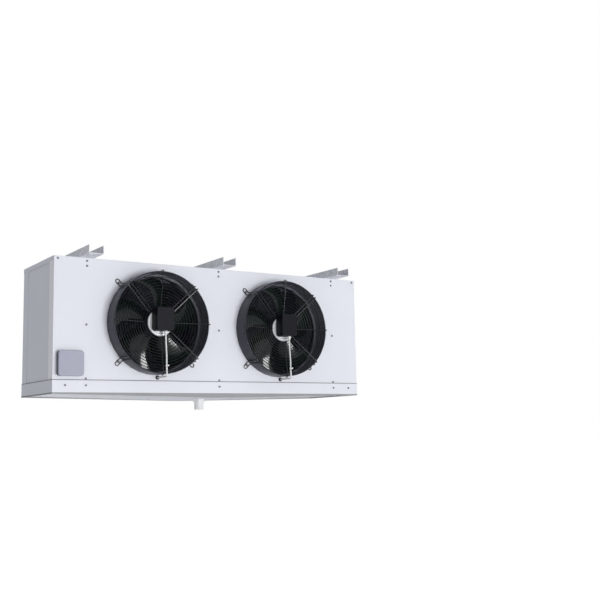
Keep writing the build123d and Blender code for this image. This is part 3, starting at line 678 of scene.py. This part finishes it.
def rotor_can(side):
    """Outer rotor of the motor: a rounded can with short cooling fins on its back."""
    top, bottom, edge = CAN_HALF, -CAN_HALF, CAN_EDGE
    quarter = [pi / 2 * k / CAN_ROUND_STEPS for k in range(CAN_ROUND_STEPS + 1)]
    profile = [(CAN_BORE, BORE_BACK), (CAN_BORE, top), (CAN_R - 3 * edge, top)]
    profile += [(CAN_R - edge + edge * sin(angle), top - edge + edge * cos(angle)) for angle in quarter]
    profile += [(CAN_R - edge + edge * cos(angle), bottom + edge - edge * sin(angle)) for angle in quarter]
    profile += [(0, bottom)]
    build = Builder()
    build.turned(profile)
    fin = Builder()
    fin.box((CAN_R - 10 * MM, -1 * MM, bottom - 1.5 * MM), (CAN_R - 30 * MM, 1 * MM, bottom + 1 * MM))
    for index in range(COOLING_FINS):
        build.add(fin, Matrix.Rotation(2 * pi * index / COOLING_FINS, 4, "Z"))
    build.piece(side + "_rotor_shell", "black_ring", side + "_rotor", fan_matrix(side), 35,
                replaces=[side + "_fan_rotor"])


def motor_flange(side):
    """Pale motor flange with its shaft."""
    edge, low, rim = STATOR_R, FLANGE_LOW, TERMINAL_BACK + 2 * MM
    profile = [(0, SHAFT_BACK), (SHAFT_R, SHAFT_BACK), (SHAFT_R, low)]
    profile += [(edge - 2 * MM, low), (edge, low + 2 * MM), (edge, rim - 3 * MM), (edge - 3 * MM, rim)]
    profile += [(edge - 9 * MM, rim), (edge - 12 * MM, TERMINAL_BACK), (0, TERMINAL_BACK)]
    build = Builder()
    build.turned(profile)
    build.piece(side + "_motor_flange", "motor_aluminium", matrix=fan_matrix(side), smooth=30,
                replaces=[side + "_motor_stator"])


def terminal_outline(inset, corner):
    """Outline of the terminal box, drawn in by the inset."""
    width = TERMINAL_WIDTH - 2 * inset
    height = TERMINAL_HIGH - TERMINAL_LOW - 2 * inset
    return rounded_rectangle(width, height, corner, (0, (TERMINAL_LOW + TERMINAL_HIGH) / 2))


def terminal_box(side):
    """Black terminal box: base, lid with a recessed seam, and four screws."""
    matrix = fan_matrix(side)
    build = Builder()
    build.prism(terminal_outline(0, TERMINAL_CORNER), TERMINAL_BACK, TERMINAL_SEAM)
    base = build.piece(side + "_terminal_base", "black_plastic", matrix=matrix, smooth=30,
                       replaces=[side + "_terminal_box"])
    bevel(base, 1 * MM)
    build = Builder()
    build.prism(terminal_outline(0.5 * MM, TERMINAL_CORNER), TERMINAL_SEAM + SEAM_GAP, TERMINAL_FRONT)
    build.prism(terminal_outline(2 * MM, TERMINAL_CORNER - 1 * MM), TERMINAL_SEAM, TERMINAL_SEAM + SEAM_GAP)
    lid = build.piece(side + "_terminal_lid", "black_plastic", matrix=matrix, smooth=30)
    bevel(lid, 4 * MM, 4)
    build = Builder()
    head = Builder()
    head.turned([(0, 0.9 * MM), (2.4 * MM, 0.7 * MM), (3 * MM, 0)], 16)
    for x in (SCREW_IN - TERMINAL_WIDTH / 2, TERMINAL_WIDTH / 2 - SCREW_IN):
        for y in (TERMINAL_LOW + SCREW_IN, TERMINAL_HIGH - SCREW_IN):
            build.add(head, Matrix.Translation((x, y, TERMINAL_FRONT - 0.5 * MM)))
    build.piece(side + "_terminal_screws", "black_plastic", matrix=matrix, smooth=50)


def cable_gland(side):
    """Hexagon gland under the terminal box, with a domed nut round the cable."""
    place = Matrix.Translation((CABLE_X, TERMINAL_LOW, GLAND_HEIGHT))
    to_down = Matrix.Rotation(radians(90), 4, "X")
    build = Builder()
    build.prism(circle(8 * MM, 6), 0, 6 * MM)
    build.turned(in_mm([(7.2, 6), (7.2, 9), (6.4, 12), (5, 15.5), (3.6, 16)]), 24)
    gland = build.piece(side + "_gland_nut", "white_plastic", matrix=fan_matrix(side) @ (place @ to_down),
                        smooth=30, replaces=[side + "_cable_gland"])
    bevel(gland, 0.6 * MM, 2)


def motor_cable(side):
    """White cable from the gland down over the ring's rim and back to the panel."""
    matrix = fan_matrix(side)
    curve = bpy.data.curves.new(side + "_cable_sheath", "CURVE")
    curve.dimensions = "3D"
    curve.bevel_depth = CABLE_R
    curve.bevel_resolution = 6
    curve.resolution_u = 16
    curve.use_fill_caps = True
    spline = curve.splines.new("NURBS")
    x, start, outside = CABLE_X, TERMINAL_LOW, CABLE_OUTSIDE
    route = [(x, start - 14 * MM, GLAND_HEIGHT), (x, start - 30 * MM, GLAND_HEIGHT),
             (x, start - 60 * MM, GLAND_HEIGHT + 2 * MM), (x + 1 * MM, -140 * MM, 90 * MM),
             (x, TIE_Y, TIE_HEIGHT), (x, outside + 14 * MM, CABLE_FRONT), (x, outside, CABLE_FRONT),
             (x, outside, CABLE_FRONT - 18 * MM), (x, outside, 40 * MM), (x, outside, 3 * MM)]
    spline.points.add(len(route) - 1)
    for point, place in zip(spline.points, route):
        point.co = (*(matrix @ Vector(place)), 1)
    spline.order_u = 3
    spline.use_endpoint_u = True
    curve.materials.append(MATERIALS["white_cable"])
    cable = bpy.data.objects.new(side + "_cable_sheath", curve)
    bpy.context.scene.collection.objects.link(cable)
    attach(cable, "casing")
    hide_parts(side + "_motor_cable")


def cable_tie(side):
    """Tie of two turns round the cable, with its head."""
    x, reach = CABLE_X, CABLE_R + 0.9 * MM
    build = Builder()
    for y in (TIE_Y - 1.2 * MM, TIE_Y + 1.2 * MM):
        loop = [(x + across, y, TIE_HEIGHT + out) for across, out in circle(reach, 24)]
        build.tube(loop, 1.3 * MM, WIRE_SIDES, closed=True)
    build.box((x + 2 * MM, TIE_Y - 3 * MM, TIE_HEIGHT + 3 * MM),
              (x + 8 * MM, TIE_Y + 3 * MM, TIE_HEIGHT + 7.5 * MM))
    build.piece(side + "_tie_loop", "white_plastic", matrix=fan_matrix(side),
                replaces=[side + "_cable_tie"])


def cable_grommet(side):
    """Black grommet where the cable enters the panel."""
    bore = CABLE_R / MM
    profile = [(bore, 4), (6, 4), (9, 1.5), (9, 0), (6.8, 0), (6.8, -1.5), (bore, -1.5)]
    build = Builder()
    build.turned(in_mm(profile), 32, closed=True)
    place = fan_matrix(side) @ Matrix.Translation((CABLE_X, CABLE_OUTSIDE, 0))
    build.piece(side + "_grommet_ring", "black_plastic", matrix=place, replaces=[side + "_cable_grommet"])


# ------------------------------------------------------------------ fasteners

FRONT, REAR = -1, 1         # the way a screw's head faces along Y


def screw_group(name, node, facing, radius, height):
    """Hexagon washer-head screws at the places of a CAD group."""
    head = Builder()
    head.turned([(0, 0.9 * MM), (radius, 0.7 * MM), (radius, 0)], 24)
    head.prism(circle(radius * 0.72, 6), 0.8 * MM, height)
    turn = Matrix.Rotation(radians(-90 * facing), 4, "X")
    build = Builder()
    for low, high in islands(node):
        middle = (low + high) / 2
        seat = high.y if facing == FRONT else low.y
        build.add(head, Matrix.Translation((middle.x, seat, middle.z)) @ turn)
    build.piece(name, "zinc_fastener", replaces=[node], smooth=30)


# ------------------------------------------------------------------ coil

FIN_PITCH = 6 * MM
FIN_THICK = 0.35 * MM
FIN_TOP = 1.5 * MM          # closing sheet over the fins
TUBE_R = 6.5 * MM
TUBE_SIDES = 16
BEND = [pi * k / 12 for k in range(13)]     # angles along a half circle
COLLAR = 0.4 * MM           # wall of the fins' collars round the tubes
TAB_HALF = 3.5 * MM         # half the height of the light tabs across the fins


def fin_pack(side):
    """Thin fins at close pitch, and the light tabs across their rear edges, one for each hairpin."""
    node = side + "_fin_pack"
    low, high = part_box(node)
    count = int((high.x - low.x) / FIN_PITCH)
    first = (low.x + high.x - (count - 1) * FIN_PITCH) / 2
    build = Builder()
    for index in range(count):
        x = first + index * FIN_PITCH
        build.box((x - FIN_THICK / 2, low.y, low.z), (x + FIN_THICK / 2, high.y, high.z - 1 * MM))
    build.box((low.x, low.y, high.z - FIN_TOP), (high.x, high.y, high.z))
    build.piece(side + "_fins", "coil_fin", replaces=[node], smooth=20)
    tabs = Builder()
    for _, leg_high in islands("coil_hairpins"):
        z = leg_high.z - TUBE_R
        tabs.box((low.x, high.y - 2.5 * MM, z - TAB_HALF), (high.x, high.y - 1 * MM, z + TAB_HALF))
    tabs.piece(side + "_spacer_tabs", "coil_fin", material="fin_collar", smooth=20)


def hairpin_tubes():
    """Round tubes along the CAD hairpins, with the fins' collars round them."""
    legs = []
    build = Builder()
    for low, high in islands("coil_hairpins"):
        rear = Vector((0, high.y - TUBE_R, high.z - TUBE_R))
        front = Vector((0, low.y + TUBE_R, low.z + TUBE_R))
        legs += [rear, front]
        middle, arm = (rear + front) / 2, (rear - front) / 2
        start, end = Vector((low.x, 0, 0)), Vector((-low.x, 0, 0))
        bend = [middle + end + arm * cos(angle) + Vector((arm.length * sin(angle), 0, 0)) for angle in BEND]
        build.tube([rear + start] + bend + [front + start], TUBE_R, TUBE_SIDES)
    build.piece("hairpin_tubes", "copper", replaces=["coil_hairpins"], smooth=50)
    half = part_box("right_fin_pack")[1].x
    collars = Builder()
    for leg in legs:
        for sign in (-1, 1):
            ends = [leg + Vector((sign * x, 0, 0)) for x in (1.5 * MM, half)]
            collars.tube(ends, TUBE_R + COLLAR, TUBE_SIDES)
    collars.piece("fin_collars", "coil_fin", smooth=50, material="fin_collar")


def return_bends():
    """Round bends along the CAD return bends."""
    build = Builder()
    for low, high in islands("return_bends"):
        y = (low.y + high.y) / 2
        lower, upper = low.z + TUBE_R, high.z - TUBE_R
        reach, middle = (upper - lower) / 2, (lower + upper) / 2
        x = high.x - 3 * MM
        bend = [(x - reach * sin(angle), y, middle - reach * cos(angle)) for angle in BEND]
        build.tube([(high.x, y, lower)] + bend + [(high.x, y, upper)], TUBE_R, TUBE_SIDES)
    build.piece("round_return_bends", "copper", replaces=["return_bends"], smooth=50)


# ------------------------------------------------------------------ box, drain and casing trim

BOX_CORNER = 13 * MM
BOX_GAP = 0.7 * MM          # joint between base and lid, where the gasket shows
SPIGOT_R = 21 * MM
SPIGOT_BORE = 16 * MM
THREAD_DEPTH = 0.9 * MM
THREAD_PITCH = 3 * MM
# painted shadow strip in the pan's joint: how far it stands out, and its height
JOINT_SHADOW_OUT, JOINT_SHADOW_HIGH = 1.3 * MM, 3.0 * MM
# grey band round the pan, which is painted shade
SHADE_BAND_RISE = 18 * MM          # the band's top above the pan's lowest point
SHADE_BAND_DROP = 6 * MM           # the band's height at the ends
SHADE_BAND_WALL = 1.2 * MM
SHADE_BAND_FLAT = 45 * MM          # half the level stretch at the drain
FOLD_LAP = 53 * MM
FOLD_PROUD = 1.3 * MM
FOLD_EDGE = 0.3 * MM        # the front fold's step at its thin edge
# width of the dark painted shadow strip behind each front fold
FOLD_SHADOW_WIDTH = 3 * MM
ROOF_LIP = 20 * MM


def junction_box():
    """Grey box with rounded corners: a darker base, whose dark colour is painted shade for the box's shaded sides,
    a recessed gasket and a domed lid.
    """
    matrix = Matrix.Translation((0, PANEL_Y, 0)) @ OUTWARD
    low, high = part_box("junction_box_lid")
    width, height = high.x - low.x, high.z - low.z
    middle = ((low.x + high.x) / 2, (low.z + high.z) / 2)
    seam, front = PANEL_Y - high.y, PANEL_Y - low.y
    rows = (
        # name, inset, back, front, material, edge rounding, replaced nodes
        ("box_base_shell", 1 * MM, 0, seam, "box_base", 1 * MM, ["junction_box_base"]),
        ("box_gasket", 2.5 * MM, seam - BOX_GAP, seam + 2 * BOX_GAP, "seal_and_painted_shadow", 0.2 * MM, []),
        ("box_lid_shell", 0, seam + BOX_GAP, front, "box_plastic", 3 * MM, ["junction_box_lid"]),
    )
    for name, inset, back, out, material, edge, nodes in rows:
        outline = rounded_rectangle(width - 2 * inset, height - 2 * inset, BOX_CORNER - inset, middle)
        build = Builder()
        build.prism(outline, back, out)
        piece = build.piece(name, "box_plastic", matrix=matrix, smooth=30, material=material, replaces=nodes)
        bevel(piece, edge, 4)


def drain_outlet():
    """Threaded spigot with an open bore, and the hexagon nut that clamps it to the pan."""
    low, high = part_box("drain_spigot")
    nut_low, nut_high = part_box("drain_nut")
    root = SPIGOT_R - THREAD_DEPTH
    profile = [(SPIGOT_BORE, low.z), (root, low.z)]
    for turn in range(int((nut_low.z - low.z - 3 * MM) / THREAD_PITCH)):
        foot = low.z + 1.5 * MM + turn * THREAD_PITCH
        profile += [(root, foot), (SPIGOT_R, foot + THREAD_PITCH * 0.3),
                    (SPIGOT_R, foot + THREAD_PITCH * 0.6), (root, foot + THREAD_PITCH * 0.9)]
    collar_r, collar_low = high.y - 1 * MM, nut_high.z + 1.6 * MM
    profile += [(root, nut_low.z), (root, collar_low), (collar_r, collar_low), (collar_r, high.z)]
    profile += [(SPIGOT_BORE, high.z)]
    build = Builder()
    build.turned(profile, 64, closed=True)
    build.piece("spigot_thread", "white_plastic", smooth=35, replaces=["drain_spigot"])
    build = Builder()
    build.prism(circle(nut_high.x, 6), nut_low.z, nut_high.z)
    nut = build.piece("drain_hexagon_nut", "white_plastic", smooth=30, replaces=["drain_nut"])
    bevel(nut, 1.5 * MM)


def pan_joint_painted_shadow():
    """Dark strip in the joint between the pan's upper edge and the casing: painted shadow of the joint."""
    casing_low, casing_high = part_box("front_fan_panel")
    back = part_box("rear_top_rail")[1].y
    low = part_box("drain_pan")[1].z
    left, right, high = casing_low.x, casing_high.x, low + JOINT_SHADOW_HIGH
    build = Builder()
    build.box((left - JOINT_SHADOW_OUT, PANEL_Y - JOINT_SHADOW_OUT, low), (right + JOINT_SHADOW_OUT, PANEL_Y, high))
    build.box((left - JOINT_SHADOW_OUT, back, low), (right + JOINT_SHADOW_OUT, back + JOINT_SHADOW_OUT, high))
    build.box((left - JOINT_SHADOW_OUT, PANEL_Y, low), (left, back, high))
    build.box((right, PANEL_Y, low), (right + JOINT_SHADOW_OUT, back, high))
    build.piece("pan_joint_painted_shadow", "black_plastic", material="seal_and_painted_shadow", smooth=20)


def pan_painted_shade_band():
    """Grey band round the pan, painted shade for the pan's shaded underside: level along its upper edge, with the
    fall of the floor below.
    """
    low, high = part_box("drain_pan")
    top = low.z + SHADE_BAND_RISE
    line = [(low.x, top), (high.x, top), (high.x, top - SHADE_BAND_DROP), (SHADE_BAND_FLAT, low.z - SHADE_BAND_WALL),
            (-SHADE_BAND_FLAT, low.z - SHADE_BAND_WALL), (low.x, top - SHADE_BAND_DROP)]
    build = Builder()
    for y in (low.y - SHADE_BAND_WALL / 2, high.y - SHADE_BAND_WALL / 2):
        near = [Vector((x, y, z)) for x, z in line]
        far = [Vector((x, y + SHADE_BAND_WALL, z)) for x, z in line]
        build.grid([near, far], wrap_columns=True)
        build.cap(near)
        build.cap(reversed(far))
    for x in (low.x, high.x - SHADE_BAND_WALL):
        build.box((x, low.y + SHADE_BAND_WALL, top - SHADE_BAND_DROP), (x + SHADE_BAND_WALL, high.y - SHADE_BAND_WALL, top))
    build.piece("pan_painted_shade_band", "black_plastic", material="pan_underside_painted_shade", smooth=30)


def sheet_folds():
    """Folded edges of the front panel and the roof that lap over the two ends. The front folds get whiter paint as
    a painted highlight, and dark strips behind them are painted shadow.
    """
    low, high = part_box("front_fan_panel")
    roof_low, roof_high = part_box("roof_panel")
    lap, top = low.y + FOLD_LAP, roof_high.z - ROOF_LIP
    folds, lips, shadow_strips = Builder(), Builder(), Builder()
    for sign in (-1, 1):
        end, proud, shallow = sign * high.x, sign * FOLD_PROUD, sign * FOLD_PROUD / 3
        strip = [Vector((end, low.y)), Vector((end + sign * FOLD_EDGE, low.y)),
                 Vector((end + proud, lap)), Vector((end, lap))]
        folds.prism(strip[::sign], low.z, top)
        inner, outer = sorted((end, end + proud))
        lips.box((inner, roof_low.y, top), (outer, roof_high.y, roof_high.z))
        inner, outer = sorted((end, end + shallow))
        # dark strip behind the fold: painted shadow of the seam
        shadow_strips.box((inner, lap, low.z), (outer, lap + FOLD_SHADOW_WIDTH, top))
    folds.piece("front_folds", "casing_paint", smooth=20, material="fold_painted_highlight")
    lips.piece("roof_lips", "casing_paint", smooth=20)
    shadow_strips.piece("fold_painted_shadows", "casing_paint", smooth=20, material="seal_and_painted_shadow")


def build_all():
    bpy.context.scene.view_settings.view_transform = "Standard"
    make_camera()
    make_world()
    for softbox in SOFTBOXES:
        make_softbox(*softbox)
    make_floor()
    dress_cad_nodes()
    for side in FANS:
        ring_shell(side)
        ring_painted_sheen(side)
        guard_hoops(side)
        guard_ribs(side)
        blades(side)
        rotor_can(side)
        motor_flange(side)
        terminal_box(side)
        cable_gland(side)
        motor_cable(side)
        cable_tie(side)
        cable_grommet(side)
        screw_group(side + "_ear_screws", side + "_guard_screws", FRONT, 6 * MM, 5.5 * MM)
    screw_group("front_screws", "front_panel_screws", FRONT, 5 * MM, 3 * MM)
    screw_group("rear_screws", "rear_panel_screws", REAR, 5 * MM, 3 * MM)
    fin_pack("left")
    fin_pack("right")
    hairpin_tubes()
    return_bends()
    pan_joint_painted_shadow()
    sheet_folds()
    pan_painted_shade_band()
    junction_box()
    drain_outlet()


build_all()
